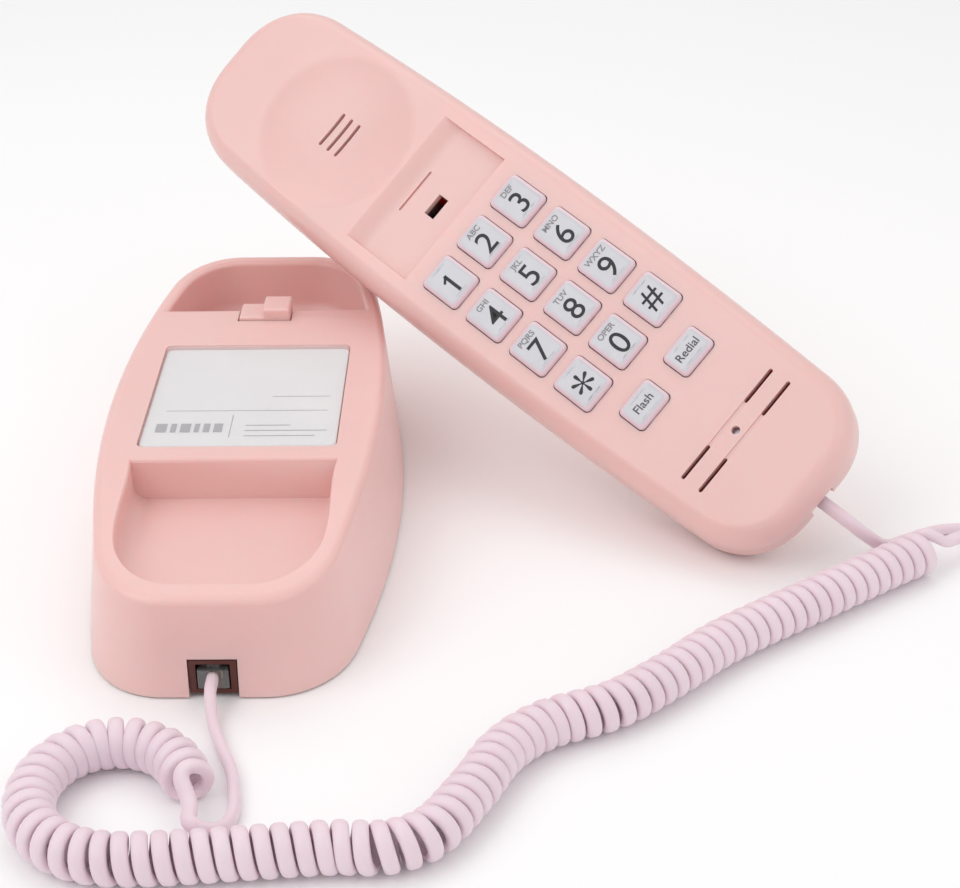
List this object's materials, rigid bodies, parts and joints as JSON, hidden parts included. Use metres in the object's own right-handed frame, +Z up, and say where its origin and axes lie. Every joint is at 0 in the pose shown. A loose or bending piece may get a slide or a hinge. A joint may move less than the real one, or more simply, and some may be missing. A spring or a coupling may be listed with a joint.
{
  "type": "corded desk phone",
  "caption": "Slim corded desk phone with its handset off the hook: keypad and earpiece in the handset, barrel-shaped base with a card window and a hook switch, joined by a coiled cord.",
  "frame": {"origin": "on the table under the middle of the box round the base and the handset, without the cord", "axes": "+X to the right along the base's width, +Y along the base from its front wall to its rear wall, +Z up"},
  "size_m": [0.2449, 0.2855, 0.1105],
  "materials": {
    "pink_shell": "satin moulded ABS, pale pink",
    "pink_cover": "matte moulded plastic, pink",
    "dark_rubber": "matte rubber",
    "steel": "zinc plated",
    "card": "printed card, pale grey",
    "clear_window": "clear polystyrene sheet",
    "circuit_board": "green solder mask",
    "clear_plug": "clear polycarbonate",
    "key_plastic": "pale grey, printed legends under a clear cap",
    "cord_jacket": "pale lilac-pink PVC, satin",
    "dark_plastic": "dark brown moulded plastic"
  },
  "bodies": {
    "base": {"base_shell": "pink_shell", "base_cover": "pink_cover", "rubber_foot_1": "dark_rubber", "rubber_foot_2": "dark_rubber", "rubber_foot_3": "dark_rubber", "rubber_foot_4": "dark_rubber", "base_screw_1": "steel", "base_screw_2": "steel", "base_screw_3": "steel", "base_screw_4": "steel", "number_card": "card", "card_window": "clear_window", "base_circuit_board": "circuit_board", "ringer": "dark_plastic", "ballast_weight": "steel", "hook_switch_body": "dark_plastic", "hook_spring": "steel", "base_handset_jack": "dark_plastic", "wall_line_jack": "dark_plastic", "base_plug": "clear_plug", "base_lead": "cord_jacket", "cord_coil": "cord_jacket", "handset_lead": "cord_jacket"},
    "handset": {"handset_front": "pink_shell", "handset_back": "pink_shell", "keypad_membrane": "dark_rubber", "handset_circuit_board": "circuit_board", "receiver": "dark_plastic", "microphone": "steel", "handset_weight": "steel", "handset_screw_1": "steel", "handset_screw_2": "steel", "handset_jack": "dark_plastic", "handset_plug": "clear_plug"},
    "hook": {"hook_plunger": "pink_shell"},
    "key_1": {"key_1": "key_plastic"},
    "key_2": {"key_2": "key_plastic"},
    "key_3": {"key_3": "key_plastic"},
    "key_4": {"key_4": "key_plastic"},
    "key_5": {"key_5": "key_plastic"},
    "key_6": {"key_6": "key_plastic"},
    "key_7": {"key_7": "key_plastic"},
    "key_8": {"key_8": "key_plastic"},
    "key_9": {"key_9": "key_plastic"},
    "key_star": {"key_star": "key_plastic"},
    "key_0": {"key_0": "key_plastic"},
    "key_hash": {"key_hash": "key_plastic"},
    "key_flash": {"key_flash": "key_plastic"},
    "key_redial": {"key_redial": "key_plastic"}
  },
  "joints": [
    {"name": "handset_lift", "type": "slide", "parent": "base", "child": "handset", "axis": [0, 0, 1], "range_m": [0, 0.12]},
    {"name": "hook_press", "type": "slide", "parent": "base", "child": "hook", "axis": [0, 0, -1], "range_m": [0, 0.004], "stiffness_N_per_m": 150, "springref_m": -0.002, "deforming": ["hook_spring"]},
    {"name": "key_1_press", "type": "slide", "parent": "handset", "child": "key_1", "axis": [0.2768, 0.6815, -0.6774], "range_m": [0, 0.0012], "stiffness_N_per_m": 200, "springref_m": -0.001},
    {"name": "key_2_press", "type": "slide", "parent": "handset", "child": "key_2", "axis": [0.2768, 0.6815, -0.6774], "range_m": [0, 0.0012], "stiffness_N_per_m": 200, "springref_m": -0.001},
    {"name": "key_3_press", "type": "slide", "parent": "handset", "child": "key_3", "axis": [0.2768, 0.6815, -0.6774], "range_m": [0, 0.0012], "stiffness_N_per_m": 200, "springref_m": -0.001},
    {"name": "key_4_press", "type": "slide", "parent": "handset", "child": "key_4", "axis": [0.2768, 0.6815, -0.6774], "range_m": [0, 0.0012], "stiffness_N_per_m": 200, "springref_m": -0.001},
    {"name": "key_5_press", "type": "slide", "parent": "handset", "child": "key_5", "axis": [0.2768, 0.6815, -0.6774], "range_m": [0, 0.0012], "stiffness_N_per_m": 200, "springref_m": -0.001},
    {"name": "key_6_press", "type": "slide", "parent": "handset", "child": "key_6", "axis": [0.2768, 0.6815, -0.6774], "range_m": [0, 0.0012], "stiffness_N_per_m": 200, "springref_m": -0.001},
    {"name": "key_7_press", "type": "slide", "parent": "handset", "child": "key_7", "axis": [0.2768, 0.6815, -0.6774], "range_m": [0, 0.0012], "stiffness_N_per_m": 200, "springref_m": -0.001},
    {"name": "key_8_press", "type": "slide", "parent": "handset", "child": "key_8", "axis": [0.2768, 0.6815, -0.6774], "range_m": [0, 0.0012], "stiffness_N_per_m": 200, "springref_m": -0.001},
    {"name": "key_9_press", "type": "slide", "parent": "handset", "child": "key_9", "axis": [0.2768, 0.6815, -0.6774], "range_m": [0, 0.0012], "stiffness_N_per_m": 200, "springref_m": -0.001},
    {"name": "key_star_press", "type": "slide", "parent": "handset", "child": "key_star", "axis": [0.2768, 0.6815, -0.6774], "range_m": [0, 0.0012], "stiffness_N_per_m": 200, "springref_m": -0.001},
    {"name": "key_0_press", "type": "slide", "parent": "handset", "child": "key_0", "axis": [0.2768, 0.6815, -0.6774], "range_m": [0, 0.0012], "stiffness_N_per_m": 200, "springref_m": -0.001},
    {"name": "key_hash_press", "type": "slide", "parent": "handset", "child": "key_hash", "axis": [0.2768, 0.6815, -0.6774], "range_m": [0, 0.0012], "stiffness_N_per_m": 200, "springref_m": -0.001},
    {"name": "key_flash_press", "type": "slide", "parent": "handset", "child": "key_flash", "axis": [0.2768, 0.6815, -0.6774], "range_m": [0, 0.0012], "stiffness_N_per_m": 200, "springref_m": -0.001},
    {"name": "key_redial_press", "type": "slide", "parent": "handset", "child": "key_redial", "axis": [0.2768, 0.6815, -0.6774], "range_m": [0, 0.0012], "stiffness_N_per_m": 200, "springref_m": -0.001}
  ]
}
